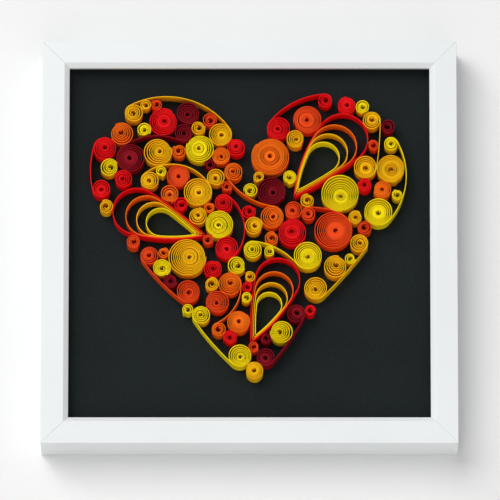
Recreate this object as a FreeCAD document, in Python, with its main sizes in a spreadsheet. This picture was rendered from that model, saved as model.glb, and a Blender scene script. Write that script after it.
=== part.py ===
import FreeCAD, Part
import math
import os

import Sketcher

# Framed quilled heart: paper strips wound into coils, scrolls and nested drops, standing on edge
# on a black card inside a white mitred box frame. Millimetres, +Z up, the picture faces -Y,
# and the origin is the middle of the frame's underside.

doc = FreeCAD.newDocument("QuilledHeart")

# Driving dimensions, each kept in one named cell

DIMENSIONS = {
    "frame_outer": 250.0,
    "frame_depth": 30.0,
    "lip_width": 13.4,
    "bevel_width": 3.0,
    "bevel_depth": 2.3,
    "lip_thickness": 4.5,
    "side_wall": 12.7,
    "back_wall": 9.7,
    "card_depth": 11.0,
    "card_thickness": 1.5,
    "board_thickness": 4.0,
    "board_clearance": 0.4,
    "nail_leg": 3.6,
    "nail_height": 10.0,
    "nail_thickness": 0.6,
    "point_width": 8.0,
    "point_length": 12.0,
    "point_bite": 5.0,
    "point_thickness": 0.5,
    "point_offset": 60.0,
    "hanger_width": 46.0,
    "hanger_height": 9.0,
    "hanger_plate": 0.8,
    "hanger_bridge": 26.0,
    "hanger_joggle": 2.4,
    "hanger_raise": 2.2,
    "hanger_drop": 24.0,
    "tooth_pitch": 2.2,
    "tooth_depth": 1.4,
    "tooth_count": 9.0,
    "tooth_flat": 0.2,
    "tooth_overrun": 0.15,
    "screw_spacing": 38.0,
    "screw_shank": 2.0,
    "screw_hole": 2.3,
    "screw_head": 4.4,
    "screw_head_height": 1.3,
    "screw_depth": 3.4,
    "strip_height": 10.0,
    "strip_thickness": 0.4,
    "turn_gap": 0.1,
    "glue_gap": 0.15,
    "open_gap": 1.35,
    "coil_hole": 2.6,
    "heart_width": 194.0,
    "heart_tip_drop": 138.5,
    "heart_raise": 44.5,
    "cleft_depth": 4.5,
    "grand_radius": 11.3,
    "large_radius": 8.4,
    "medium_radius": 6.8,
    "small_radius": 5.3,
    "tiny_radius": 4.1,
    "mini_radius": 3.2,
    "nest_bulb_step": 1.9,
    "nest_snug_gap": 0.15,
    "nest_open_gap": 0.6,
    "grand_count": 6.0,
    "large_count": 9.0,
    "medium_count": 12.0,
    "small_count": 30.0,
    "tiny_count": 30.0,
    "mini_count": 20.0,
}

sheet = doc.addObject("Spreadsheet::Sheet", "Sheet")
for row, (alias, number) in enumerate(DIMENSIONS.items(), start=1):
    sheet.set(f"A{row}", alias)
    sheet.set(f"B{row}", str(number))
    sheet.setAlias(f"B{row}", alias)
doc.recompute()


def size(alias):
    """The number that a named cell holds."""
    return float(sheet.get(alias))


# Frame, card, board and metal fittings

CENTRE_HEIGHT = "Sheet.frame_outer / 2"
OUTER = "-Sheet.frame_outer / 2"
FRONT = "-Sheet.frame_depth / 2"
BACK = "Sheet.frame_depth / 2"
CARD_FRONT = f"{FRONT} + Sheet.card_depth"
CARD_BACK = f"{CARD_FRONT} + Sheet.card_thickness"
BOARD_BACK = f"{CARD_BACK} + Sheet.board_thickness"
HANGER_BASE = "Sheet.frame_outer - Sheet.back_wall - Sheet.hanger_drop"
SIDES = {"bottom": 0, "left": 90, "top": 180, "right": 270}

# The share of the plate's thickness by which a bend's outer corner stands off its inner one
BEND_SHARE = 0.4


def origin_plane(body, role):
    """The body's own origin plane with this role."""
    for feature in body.Origin.OriginFeatures:
        if feature.Role == role:
            return feature
    raise ValueError(f"no plane {role}")


def new_sketch(body, name, role):
    """An empty sketch on one of the body's own origin planes."""
    sketch = body.newObject("Sketcher::SketchObject", name)
    sketch.AttachmentSupport = [(origin_plane(body, role), "")]
    sketch.MapMode = "FlatFace"
    return sketch


def fix_point(sketch, line, end, corner):
    """Holds one end of a line at a place given by two expressions."""
    for kind, expression in zip(("DistanceX", "DistanceY"), corner):
        index = sketch.addConstraint(Sketcher.Constraint(kind, -1, 1, line, end, 1.0))
        sketch.setExpression(f"Constraints[{index}]", expression)


def draw_polygon(sketch, corners):
    """A closed outline whose corners are pairs of expressions."""
    count = len(corners)
    ring = [
        FreeCAD.Vector(math.cos(2 * math.pi * k / count), math.sin(2 * math.pi * k / count), 0)
        for k in range(count)
    ]
    for k in range(count):
        sketch.addGeometry(Part.LineSegment(ring[k], ring[(k + 1) % count]), False)
    for k in range(count):
        sketch.addConstraint(Sketcher.Constraint("Coincident", k, 2, (k + 1) % count, 1))
    for k, corner in enumerate(corners):
        fix_point(sketch, k, 1, corner)


def mirrored(corners):
    """The same corners on the other side of the middle line."""
    return [(f"-1 * ({across})", rise) for across, rise in corners]


def draw_circle(sketch, centre, diameter):
    """A circle whose centre and diameter are expressions."""
    line = sketch.addGeometry(Part.Circle(FreeCAD.Vector(1, 1, 0), FreeCAD.Vector(0, 0, 1), 1.0), False)
    fix_point(sketch, line, 3, centre)
    index = sketch.addConstraint(Sketcher.Constraint("Diameter", line, 2.0))
    sketch.setExpression(f"Constraints[{index}]", diameter)


def pad(body, sketch, length, name, midplane=False):
    """Pads a sketch by an expression."""
    feature = body.newObject("PartDesign::Pad", name)
    feature.Profile = sketch
    feature.Midplane = midplane
    feature.setExpression("Length", length)
    sketch.Visibility = False
    return feature


def pocket_through(body, sketch, name):
    """Cuts a sketch right through, both ways."""
    feature = body.newObject("PartDesign::Pocket", name)
    feature.Profile = sketch
    feature.Type = "ThroughAll"
    feature.Midplane = True
    return feature


def turn_about_centre(shape_object, angle):
    """Turns a piece drawn for the bottom side round the middle of the picture to another side."""
    shape_object.setExpression("Placement.Base.z", CENTRE_HEIGHT)
    rotation = FreeCAD.Rotation(FreeCAD.Vector(0, 1, 0), angle)
    shape_object.Placement = FreeCAD.Placement(FreeCAD.Vector(0, 0, size("frame_outer") / 2), rotation)


def rail_blank(side, angle):
    """One mitred rail of the box frame, with its bevelled lip and the two steps behind it."""
    body = doc.addObject("PartDesign::Body", f"{side}_rail_blank")
    lip_edge = f"{OUTER} + Sheet.lip_width"
    opening = f"{lip_edge} + Sheet.bevel_width"
    side_wall = f"{OUTER} + Sheet.side_wall"
    back_wall = f"{OUTER} + Sheet.back_wall"
    lip_back = f"{FRONT} + Sheet.lip_thickness"
    section = new_sketch(body, f"{side}_rail_section", "YZ_Plane")
    draw_polygon(section, [
        (FRONT, OUTER),
        (FRONT, lip_edge),
        (f"{FRONT} + Sheet.bevel_depth", opening),
        (lip_back, opening),
        (lip_back, side_wall),
        (CARD_FRONT, side_wall),
        (CARD_FRONT, back_wall),
        (BACK, back_wall),
        (BACK, OUTER),
    ])
    pad(body, section, "Sheet.frame_outer", f"{side}_rail_length", midplane=True)
    waste = "2 * (Sheet.lip_width + Sheet.bevel_width)"
    for end, sign in (("near", "-1"), ("far", "1")):
        mitre = new_sketch(body, f"{side}_{end}_mitre", "XZ_Plane")
        draw_polygon(mitre, [
            (f"{sign} * Sheet.frame_outer / 2", OUTER),
            (f"{sign} * Sheet.frame_outer / 2", f"{OUTER} + {waste}"),
            (f"{sign} * (Sheet.frame_outer / 2 - {waste})", f"{OUTER} + {waste}"),
        ])
        pocket_through(body, mitre, f"{side}_{end}_mitre_cut")
    turn_about_centre(body, angle)
    return body


def corner_nail(side, angle):
    """An angled steel nail that holds the mitre at the left end of this side, flush with the back."""
    body = doc.addObject("PartDesign::Body", f"{side}_corner_nail")
    near = f"{OUTER} + Sheet.back_wall / 2 - Sheet.nail_thickness / 2"
    inner = f"{near} + Sheet.nail_thickness"
    tip = f"{near} + Sheet.nail_leg"
    section = new_sketch(body, f"{side}_nail_section", "XZ_Plane")
    draw_polygon(section, [
        (near, near),
        (tip, near),
        (tip, inner),
        (inner, inner),
        (inner, tip),
        (near, tip),
    ])
    section.setExpression("AttachmentOffset.Base.z", f"-1 * ({BACK} - Sheet.nail_height)")
    feature = pad(body, section, "Sheet.nail_height", f"{side}_nail_height")
    feature.Reversed = True
    turn_about_centre(body, angle)
    return body


def retaining_point(side, angle, end, sign):
    """A flat steel point driven into the rail behind the board, which holds the board in."""
    body = doc.addObject("PartDesign::Body", f"{side}_{end}_point")
    middle = f"{sign} * Sheet.point_offset"
    root = f"{OUTER} + Sheet.back_wall - Sheet.point_bite"
    shoulder = f"{OUTER} + Sheet.back_wall"
    head = f"{root} + Sheet.point_length"
    section = new_sketch(body, f"{side}_{end}_point_outline", "XZ_Plane")
    draw_polygon(section, [
        (middle, root),
        (f"{middle} + Sheet.point_width / 2", shoulder),
        (f"{middle} + Sheet.point_width / 2", head),
        (f"{middle} - Sheet.point_width / 2", head),
        (f"{middle} - Sheet.point_width / 2", shoulder),
    ])
    section.setExpression("AttachmentOffset.Base.z", f"-1 * ({BOARD_BACK})")
    feature = pad(body, section, "Sheet.point_thickness", f"{side}_{end}_point_thickness")
    feature.Reversed = True
    turn_about_centre(body, angle)
    return body


def group(label, members):
    """Several like solids kept as one piece of the parts list."""
    compound = doc.addObject("Part::Compound", label)
    compound.Links = members
    return compound


def cut(label, base, tool):
    """A piece with the place of another cut out of it."""
    result = doc.addObject("Part::Cut", label)
    result.Base = base
    result.Tool = tool
    return result


def bind(shape_object, **expressions):
    """Binds properties to expressions; a double underscore stands for a dot."""
    for name, expression in expressions.items():
        shape_object.setExpression(name.replace("__", "."), expression)


def panel(label, front, thickness):
    """A square sheet that drops into the frame from behind."""
    box = doc.addObject("Part::Box", label)
    width = "Sheet.frame_outer - 2 * Sheet.back_wall - 2 * Sheet.board_clearance"
    bind(
        box,
        Length=width,
        Width=thickness,
        Height=width,
        Placement__Base__x=f"-1 * ({width}) / 2",
        Placement__Base__y=front,
        Placement__Base__z=f"{CENTRE_HEIGHT} - ({width}) / 2",
    )
    return box


def screw(end, sign):
    """A small pan-head screw through one tab of the hanger into the board."""
    parts = []
    pieces = (
        ("head", "Sheet.screw_head", "Sheet.screw_head_height", f"{BOARD_BACK} + Sheet.hanger_plate"),
        ("shank", "Sheet.screw_shank", "Sheet.screw_depth + Sheet.hanger_plate",
         f"{BOARD_BACK} - Sheet.screw_depth"),
    )
    for piece, diameter, length, start in pieces:
        cylinder = doc.addObject("Part::Cylinder", f"{end}_screw_{piece}")
        # the cylinder's own axis is laid along +Y
        cylinder.Placement.Rotation = FreeCAD.Rotation(FreeCAD.Vector(1, 0, 0), -90)
        bind(
            cylinder,
            Radius=f"({diameter}) / 2",
            Height=length,
            Placement__Base__x=f"{sign} * Sheet.screw_spacing / 2",
            Placement__Base__y=start,
            Placement__Base__z=f"{HANGER_BASE} + Sheet.hanger_height / 2",
        )
        parts.append(cylinder)
    fused = doc.addObject("Part::MultiFuse", f"{end}_hanger_screw")
    fused.Shapes = parts
    return fused


def sawtooth_hanger():
    """A bent steel strip with a toothed lower edge, held on the board by its two end tabs."""
    body = doc.addObject("PartDesign::Body", "sawtooth_hanger")
    tab_end = "Sheet.hanger_width / 2"
    bend_foot = "Sheet.hanger_bridge / 2 + Sheet.hanger_joggle"
    bend_top = "Sheet.hanger_bridge / 2"
    over_step = f"Sheet.hanger_plate * {BEND_SHARE}"
    raised = f"{BOARD_BACK} + Sheet.hanger_raise"
    under = [(tab_end, BOARD_BACK), (bend_foot, BOARD_BACK), (bend_top, raised)]
    over = [
        (tab_end, f"{BOARD_BACK} + Sheet.hanger_plate"),
        (f"{bend_foot} + {over_step}", f"{BOARD_BACK} + Sheet.hanger_plate"),
        (f"{bend_top} + {over_step}", f"{raised} + Sheet.hanger_plate"),
    ]
    outline = mirrored(under) + under[::-1] + over + mirrored(over)[::-1]
    section = new_sketch(body, "hanger_section", "XY_Plane")
    draw_polygon(section, outline)
    pad(body, section, "Sheet.hanger_height", "hanger_strip")
    holes = new_sketch(body, "hanger_holes", "XZ_Plane")
    for sign in ("-1", "1"):
        draw_circle(holes, (f"{sign} * Sheet.screw_spacing / 2", "Sheet.hanger_height / 2"), "Sheet.screw_hole")
    pocket_through(body, holes, "hanger_hole_cut")
    teeth = new_sketch(body, "hanger_tooth", "XZ_Plane")
    first = "-1 * Sheet.tooth_pitch * (Sheet.tooth_count - 1) / 2"
    half_gullet = "(Sheet.tooth_pitch - Sheet.tooth_flat) / 2"
    draw_polygon(teeth, [
        (f"{first} - {half_gullet}", "-1 * Sheet.tooth_overrun"),
        (f"{first} + {half_gullet}", "-1 * Sheet.tooth_overrun"),
        (first, "Sheet.tooth_depth"),
    ])
    notch = pocket_through(body, teeth, "hanger_notch")
    doc.recompute()
    row = body.newObject("PartDesign::LinearPattern", "hanger_teeth")
    row.Originals = [notch]
    row.Direction = (teeth, ["H_Axis"])
    bind(row, Length="Sheet.tooth_pitch * (Sheet.tooth_count - 1)", Occurrences="Sheet.tooth_count")
    body.Tip = row
    body.setExpression("Placement.Base.z", HANGER_BASE)
    return body


# Quilled strips: plane geometry, across (u) and up (v) from the middle of the picture

THICKNESS = size("strip_thickness")
TURN_GAP = size("turn_gap")
GLUE_GAP = size("glue_gap")
OPEN_GAP = size("open_gap")
HOLE_RADIUS = size("coil_hole") / 2
NARROW_SHARE = 0.22
GROWTH_ANGLE = 137.5
HALF_TURN = 180
SCROLL_LEAD_ANGLE = 250
HALF_WIDTH = size("heart_width") / 2
LOBE_RADIUS = HALF_WIDTH / 2
LOBE_HEIGHT = size("heart_raise")
TIP_HEIGHT = LOBE_HEIGHT - size("heart_tip_drop")
CLEFT_HEIGHT = LOBE_HEIGHT - size("cleft_depth")
RADII = {name: size(f"{name}_radius") for name in ("grand", "large", "medium", "small", "tiny", "mini")}

# Colours of the free coils, and how readily each comes back: yellows lead, crimson is rare
COLOUR_PULL = {"golden": 1.3, "orange": 1.0, "lemon": 1.4, "red": 1.0, "vermilion": 0.85, "crimson": 0.6}

# How a coil is let out: the share of its radius that stays a tight core, and how open the rest is
TIGHT = (0.74, 0.5)
EASY = (0.58, 0.85)
OPEN = (0.4, 1.0)
STYLES = (EASY, TIGHT, OPEN)

# How far apart the places are that a scroll tries, in rings round its own, and how finely its
# arc is tested
NUDGE_STEP = 0.6
NUDGE_RINGS = 60
BOW_STEPS = 24


def polar(angle, radius=1.0):
    """A step of this length at this angle, in degrees."""
    return (radius * math.cos(math.radians(angle)), radius * math.sin(math.radians(angle)))


def bearing(start, end):
    """The angle from one point to another, in degrees."""
    return math.degrees(math.atan2(end[1] - start[1], end[0] - start[0]))


def gap_between(a, b):
    """The distance between two points."""
    return math.hypot(a[0] - b[0], a[1] - b[1])


class Arc:
    """An arc of a strip's middle line: centre, radius, start angle and signed sweep."""

    def __init__(self, centre, radius, start, sweep):
        self.centre = centre
        self.radius = radius
        self.start = start
        self.sweep = sweep

    def point(self, share, left=0.0):
        """The point at this share of the sweep, moved to the left of the way along."""
        inward = -left if self.sweep > 0 else left
        step = polar(self.start + self.sweep * share, self.radius + inward)
        return (self.centre[0] + step[0], self.centre[1] + step[1])

    def heading(self, share):
        """The way along the arc at this share of the sweep."""
        return self.start + self.sweep * share + math.copysign(90, self.sweep)

    def first_part(self, degrees):
        """The first so many degrees of the arc."""
        return Arc(self.centre, self.radius, self.start, math.copysign(degrees, self.sweep))

    def distance(self, p):
        """How far a point is from the arc."""
        angle = bearing(self.centre, p)
        turned = (angle - self.start) % 360 if self.sweep > 0 else (self.start - angle) % 360
        if turned <= abs(self.sweep):
            return abs(gap_between(self.centre, p) - self.radius)
        return min(gap_between(self.point(0), p), gap_between(self.point(1), p))


def turn(point, heading, radius, sweep):
    """An arc that leaves a point along a heading, turning left where the sweep is positive."""
    side = math.copysign(90, sweep)
    step = polar(heading + side, radius)
    return Arc((point[0] + step[0], point[1] + step[1]), radius, heading - side, sweep)


def wind(point, heading, coil_radius, side, first_sweep, style):
    """Half turns wound inwards, loose and off centre, down to a tight core.

    The last half turn runs round the core, so its circle is the core's own.
    """
    core_share, openness = style
    radius = coil_radius - THICKNESS / 2
    core = max(coil_radius * core_share, HOLE_RADIUS + 3 * THICKNESS)
    arcs = [turn(point, heading, radius, side * first_sweep)]
    spread = openness * (OPEN_GAP - TURN_GAP)
    while radius > core:
        looseness = 0.5 + 0.5 * (radius - core) / (coil_radius - core)
        share = looseness if len(arcs) % 2 == 0 else NARROW_SHARE
        radius -= (THICKNESS + TURN_GAP + spread * share) / 2
        last = arcs[-1]
        arcs.append(turn(last.point(1), last.heading(1), radius, side * HALF_TURN))
    return arcs


class Strip:
    """One strip: the arcs of its free length, and the arcs of the coil wound at either end."""

    def __init__(self, free_arcs=(), start_coil=None, end_coil=None):
        self.free_arcs = free_arcs
        self.start_coil = start_coil
        self.end_coil = end_coil

    def coils(self):
        """The coils that the strip has."""
        return [coil for coil in (self.start_coil, self.end_coil) if coil]


class Picture:
    """The strips laid so far, with the round and curved places that later coils keep clear of."""

    def __init__(self):
        self.strips = {}
        self.discs = []
        self.curves = []

    def add_strip(self, node, strip):
        """Files one strip under the piece that it belongs to."""
        self.strips.setdefault(node, []).append(strip)

    def coil(self, node, centre, radius, angle, side, style):
        """A free coil whose outer end lies at this angle."""
        step = polar(angle, radius - THICKNESS / 2)
        start = (centre[0] + step[0], centre[1] + step[1])
        arcs = wind(start, angle + 90 * side, radius, side, HALF_TURN, style)
        self.add_strip(node, Strip(end_coil=arcs))
        self.discs.append((centre, radius))

    def scroll(self, node, start, end, bend, side, crossed):
        """A strip wound at both ends and joined by one arc, nudged clear of what is laid already."""
        for shift in nudges():
            coils = [((centre[0] + shift[0], centre[1] + shift[1]), radius) for centre, radius in (start, end)]
            bow = joining_arc(*coils, bend, side, crossed)
            if self.is_clear(coils, bow):
                break
        start_coil, end_coil = coils
        end_side = -side if crossed else side
        opening = wind(bow.point(0), bow.heading(0) + HALF_TURN, start_coil[1], -side, SCROLL_LEAD_ANGLE, EASY)
        closing = wind(bow.point(1), bow.heading(1), end_coil[1], end_side, SCROLL_LEAD_ANGLE, EASY)
        self.add_strip(node, Strip([bow], opening, closing))
        self.discs += coils
        self.curves.append(bow)

    def is_clear(self, coils, bow):
        """Whether two coils and the arc between them touch nothing laid already."""
        along = [(bow.point(step / BOW_STEPS), THICKNESS / 2) for step in range(BOW_STEPS + 1)]
        return all(self.room(p) - reach > TURN_GAP / 2 for p, reach in list(coils) + along)

    def drop(self, node, sides, bulb):
        """A pinched loop: out along the right side, round the bulb and back along the left.

        Each side is part of a circle, given by its centre and radius.
        """
        (left_centre, left_radius), (right_centre, right_radius) = sides
        bulb_radius = bulb - THICKNESS / 2
        apart = THICKNESS + TURN_GAP
        centre = meet(left_centre, left_radius - bulb_radius, right_centre, right_radius - bulb_radius, 1)
        right_tip = meet(left_centre, left_radius - apart, right_centre, right_radius, 1)
        left_tip = meet(left_centre, left_radius, right_centre, right_radius - apart, 1)
        out = bearing(right_centre, right_tip)
        over = bearing(right_centre, centre)
        back = bearing(left_centre, centre)
        home = bearing(left_centre, left_tip)
        arcs = [
            Arc(right_centre, right_radius, out, (over - out) % 360),
            Arc(centre, bulb_radius, over, (back - over) % 360),
            Arc(left_centre, left_radius, back, (home - back) % 360),
        ]
        self.add_strip(node, Strip(arcs))
        self.curves += arcs

    def room(self, p):
        """The distance from a point to the nearest thing laid."""
        return min(self.laid_gaps(p), default=math.inf)

    def laid_gaps(self, p):
        """Distances from a point to all that is laid."""
        found = [gap_between(centre, p) - radius for centre, radius in self.discs]
        return found + [curve.distance(p) - THICKNESS / 2 for curve in self.curves]

    def gaps(self, p):
        """Distances from a point to the heart's edge and to all that is laid, nearest first."""
        return sorted([room_to_edge(p)] + self.laid_gaps(p))


def joining_arc(start, end, bend, side, crossed):
    """The arc of this bend that is tangent to two coils, on their outer sides or crossing over."""
    (start_centre, start_radius), (end_centre, end_radius) = start, end
    near = bend - (start_radius - THICKNESS / 2)
    far = bend + (end_radius - THICKNESS / 2) * (1 if crossed else -1)
    centre = meet(start_centre, near, end_centre, far, side)
    leave = bearing(centre, start_centre)
    sweep = side * ((bearing(centre, end_centre) - leave) * side % 360)
    return Arc(centre, bend, leave, sweep)


def nudges():
    """No move at all, then moves in wider and wider rings."""
    yield (0.0, 0.0)
    for ring in range(1, NUDGE_RINGS + 1):
        for step in range(8 * ring):
            yield polar(360 * step / (8 * ring), NUDGE_STEP * ring)


def meet(a, a_reach, b, b_reach, side):
    """The point at these reaches from two others, to the left of the way from a to b for side 1."""
    span = gap_between(a, b)
    along = (span * span + a_reach * a_reach - b_reach * b_reach) / (2 * span)
    off = side * math.sqrt(max(a_reach * a_reach - along * along, 0.0))
    unit = ((b[0] - a[0]) / span, (b[1] - a[1]) / span)
    return (a[0] + unit[0] * along - unit[1] * off, a[1] + unit[1] * along + unit[0] * off)


def room_to_edge(p):
    """How far inside the heart's outline a point lies: two round lobes over a pointed wedge."""
    across = abs(p[0])
    lobe = LOBE_RADIUS - gap_between((across, p[1]), (LOBE_RADIUS, LOBE_HEIGHT))
    rise = LOBE_HEIGHT - TIP_HEIGHT
    reach = math.hypot(LOBE_RADIUS, rise)
    half_angle = math.atan2(LOBE_RADIUS, rise) + math.asin(LOBE_RADIUS / reach)
    up = p[1] - TIP_HEIGHT
    along = up * math.cos(half_angle) + across * math.sin(half_angle)
    wedge = min(up * math.sin(half_angle) - across * math.cos(half_angle), CLEFT_HEIGHT - p[1])
    if along > math.sqrt(reach * reach - LOBE_RADIUS * LOBE_RADIUS):
        wedge = min(wedge, lobe)
    return max(lobe, wedge)


# Nests of four drops, one in each lobe and one in the foot of the heart. A nest is given by its
# outer drop: its tip, the way it points, its length, the radius of its round end, how far that end
# leans to the left of the axis, and the bends of its left and right sides.

NEST_COLOURS = ("red", "orange", "golden", "lemon")
NESTS = {
    "right_lobe": {
        "tip": (27.0, 28.0), "axis": 48.0, "length": 62.0, "bulb": 15.5, "lean": 2.8,
        "left_bend": 90.0, "right_bend": 200.0, "snug_side": "left",
    },
    "left_lobe": {
        "tip": (-27.0, 4.0), "axis": 157.0, "length": 58.0, "bulb": 14.5, "lean": 2.2,
        "left_bend": 90.0, "right_bend": 200.0, "snug_side": "left",
    },
    "heart_foot": {
        "tip": (1.0, -62.0), "axis": 70.0, "length": 55.0, "bulb": 13.5, "lean": -1.8,
        "left_bend": 160.0, "right_bend": 90.0, "snug_side": "right",
    },
}


# A nest stays empty: circles from its tip to its round end, each this share of the way along
# and this share of the round end's size, keep coils out
EMPTY_SHARES = (0.3, 0.4, 0.55, 0.75, 1.0)


def bulb_centre(nest):
    """The middle of a nest's round end."""
    along = polar(nest["axis"], nest["length"] - nest["bulb"])
    across = polar(nest["axis"] + 90, nest["lean"])
    return (nest["tip"][0] + along[0] + across[0], nest["tip"][1] + along[1] + across[1])


def keep_empty(picture, nest):
    """Marks the inside of a nest as taken."""
    tip, end = nest["tip"], bulb_centre(nest)
    for share in EMPTY_SHARES:
        centre = (tip[0] + share * (end[0] - tip[0]), tip[1] + share * (end[1] - tip[1]))
        picture.discs.append((centre, share * nest["bulb"]))


def nest_sides(nest):
    """The circles that the outer drop's left and right sides follow."""
    radius = nest["bulb"] - THICKNESS / 2
    tip, centre = nest["tip"], bulb_centre(nest)
    sides = []
    for bend, side in ((nest["left_bend"], -1), (nest["right_bend"], 1)):
        half = polar(nest["axis"] - 90 * side, (THICKNESS + TURN_GAP) / 2)
        edge = (tip[0] + half[0], tip[1] + half[1])
        sides.append((meet(edge, bend, centre, bend - radius, side), bend))
    return sides


def lay_nests(picture):
    """Drops one inside the other: the sides stay a gap apart and the round ends get smaller."""
    for place, nest in NESTS.items():
        sides = nest_sides(nest)
        for inward, colour in enumerate(NEST_COLOURS):
            gaps = [size("nest_snug_gap"), size("nest_open_gap")]
            if nest["snug_side"] == "right":
                gaps.reverse()
            inner_sides = [
                (centre, radius - inward * (THICKNESS + gap)) for (centre, radius), gap in zip(sides, gaps)
            ]
            bulb = nest["bulb"] - inward * size("nest_bulb_step")
            picture.drop(f"{place}_{colour}_drop", inner_sides, bulb)
        keep_empty(picture, nest)


# Scrolls: where each end coil sits, in hundredths of the heart's half width, with its size,
# then the bend of the joining arc in the same unit, the side that the arc's centre lies on
# going from the first coil to the second (1 is left), and whether the strip crosses over (an S)

SCROLLS = {
    "golden_scroll_left_crown": ((-72, 83), "small", (-18, 69), "medium", 48, -1, False),
    "red_scroll_left_rim": ((-90, 60), "medium", (-92, 34), "small", 56, 1, False),
    "vermilion_scroll_left_flank": ((-62, -9), "small", (-38, -32), "medium", 124, 1, False),
    "lemon_scroll_left_foot": ((-30, -47), "small", (-6, -73), "medium", 165, 1, False),
    "lemon_scroll_right_rim": ((88, 63), "tiny", (80, 19), "large", 45, -1, False),
    "golden_scroll_right_flank": ((68, -1), "small", (41, -30), "medium", 268, -1, False),
    "orange_scroll_cleft": ((-10, 45), "small", (14, 16), "medium", 41, 1, True),
    "crimson_scroll_left_lobe": ((-74, 54), "large", (-41, 70), "small", 35, -1, True),
    "red_scroll_middle": ((-14, -4), "medium", (-16, 25), "small", 27, 1, False),
    "golden_scroll_left_lobe": ((-32, 32), "large", (-62, 39.5), "small", 27, 1, False),
    "vermilion_scroll_right_side": ((36.5, 18), "tiny", (52, 7.4), "grand", 41, -1, False),
    "lemon_scroll_middle": ((2, -5), "small", (36, -9), "large", 41, -1, True),
    "crimson_scroll_right_foot": ((29, -46), "small", (10, -74), "small", 165, -1, False),
    "red_scroll_right_crown": ((18, 73), "medium", (47, 91), "tiny", 47, -1, False),
    "orange_scroll_foot": ((-12, -27), "medium", (-19, -56), "tiny", 27, -1, True),
    "golden_scroll_right_lobe": ((76, 78), "small", (72, 48), "medium", 206, -1, False),
}


def lay_scrolls(picture):
    """All the scrolls, each a single strip."""
    unit = HALF_WIDTH / 100
    for node, (start, start_size, end, end_size, bend, side, crossed) in SCROLLS.items():
        start_coil = ((start[0] * unit, start[1] * unit), RADII[start_size])
        end_coil = ((end[0] * unit, end[1] * unit), RADII[end_size])
        picture.scroll(node, start_coil, end_coil, bend * unit, side, crossed)


# Free coils: the rest of the heart is filled from the largest size down, each coil put where
# it fits most snugly, and coloured unlike its neighbours

SEARCH_STEP = 1.2
FINE_STEP = 0.75
FINEST_STEP = 0.01
THIRD_WEIGHT = 0.3
OVERLAP_PENALTY = 100


def search_points(picture):
    """Places on a square grid with the room that each has."""
    reach = int(HALF_WIDTH / SEARCH_STEP) + 1
    points = []
    for column in range(-reach, reach + 1):
        for row in range(-reach, reach + 1):
            p = (column * SEARCH_STEP, row * SEARCH_STEP)
            if room_to_edge(p) > RADII["mini"]:
                points.append([p, picture.gaps(p)[0]])
    return points


def snugness(picture, p, radius):
    """Small where a coil of this radius nearly touches its three nearest neighbours."""
    first, second, third = [gap - radius for gap in picture.gaps(p)[:3]]
    if first < GLUE_GAP:
        return OVERLAP_PENALTY - first
    return first + second + THIRD_WEIGHT * third


def settle(picture, p, radius):
    """Moves a place by smaller and smaller steps while it gets more snug."""
    step = FINE_STEP
    best = snugness(picture, p, radius)
    while step > FINEST_STEP:
        moved = False
        for eighth in range(8):
            shift = polar(45 * eighth, step)
            trial = (p[0] + shift[0], p[1] + shift[1])
            value = snugness(picture, trial, radius)
            if value < best:
                p, best, moved = trial, value, True
        if not moved:
            step /= 2
    return p


def region(p):
    """Which part of the heart a point lies in."""
    if p[1] < 0:
        return "foot"
    return "left_lobe" if p[0] < 0 else "right_lobe"


def next_colour(placed, p):
    """The colour whose nearest free coil is farthest away, the distance counted by its pull."""
    def weighed(colour):
        reach = min([gap_between(p, q) for q, used in placed if used == colour], default=math.inf)
        return reach * COLOUR_PULL[colour]
    return max(COLOUR_PULL, key=weighed)


def lay_free_coils(picture):
    """Fills the heart with free coils, filed by colour and region."""
    points = search_points(picture)
    placed = []
    for coil_size, radius in RADII.items():
        for _ in range(int(size(f"{coil_size}_count"))):
            fitting = [(room, p) for p, room in points if room >= radius + GLUE_GAP]
            if not fitting:
                break
            p = settle(picture, min(fitting)[1], radius)
            colour = next_colour(placed, p)
            side = 1 if len(placed) % 2 else -1
            style = STYLES[len(placed) % len(STYLES)]
            node = f"{colour}_coils_{region(p)}"
            picture.coil(node, p, radius, GROWTH_ANGLE * len(placed), side, style)
            placed.append((p, colour))
            for point in points:
                point[1] = min(point[1], gap_between(p, point[0]) - radius)


BASE_Y = size("card_depth") - size("frame_depth") / 2
BASE_Z = size("frame_outer") / 2


def on_card(p):
    """A point of the picture on the card's front."""
    return FreeCAD.Vector(p[0], BASE_Y, BASE_Z + p[1])


def edge_of_arc(arc, left):
    """One long edge of a strip along an arc."""
    return Part.Arc(*[on_card(arc.point(share, left)) for share in (0.0, 0.5, 1.0)]).toShape()


def straight_edge(start, end):
    """A straight edge between two points of the picture."""
    return Part.LineSegment(on_card(start), on_card(end)).toShape()


def coil_edges(arcs):
    """The long edges of a wound strip, in along its left edge, round the core and back.

    The core's circle is the middle line of the last half turn, and it runs on from the strip's
    inner end to the place where the turn before last comes to lie on it.
    """
    last, before = arcs[-1], arcs[-2]
    inner = math.copysign(THICKNESS / 2, last.sweep)
    step_in = before.radius - last.radius
    inner_radius = before.radius - THICKNESS / 2
    cosine = (inner_radius ** 2 - last.radius ** 2 - step_in ** 2) / (2 * last.radius * step_in)
    meets = math.acos(cosine)
    cut_back = math.atan2(last.radius * math.sin(meets), last.radius * cosine + step_in)
    trimmed = before.first_part(abs(before.sweep) - math.degrees(cut_back))
    core = Arc(last.centre, last.radius, last.start + last.sweep, last.sweep)
    core = core.first_part(HALF_TURN - math.degrees(meets))
    edges = [edge_of_arc(arc, -inner) for arc in arcs]
    edges.append(straight_edge(last.point(1, -inner), last.point(1)))
    edges.append(edge_of_arc(core, 0.0))
    edges += [edge_of_arc(arc, inner) for arc in [trimmed] + arcs[-3::-1]]
    return edges if last.sweep < 0 else edges[::-1]


def cut_end(arc, share):
    """The square end of a strip."""
    return straight_edge(arc.point(share, THICKNESS / 2), arc.point(share, -THICKNESS / 2))


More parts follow.
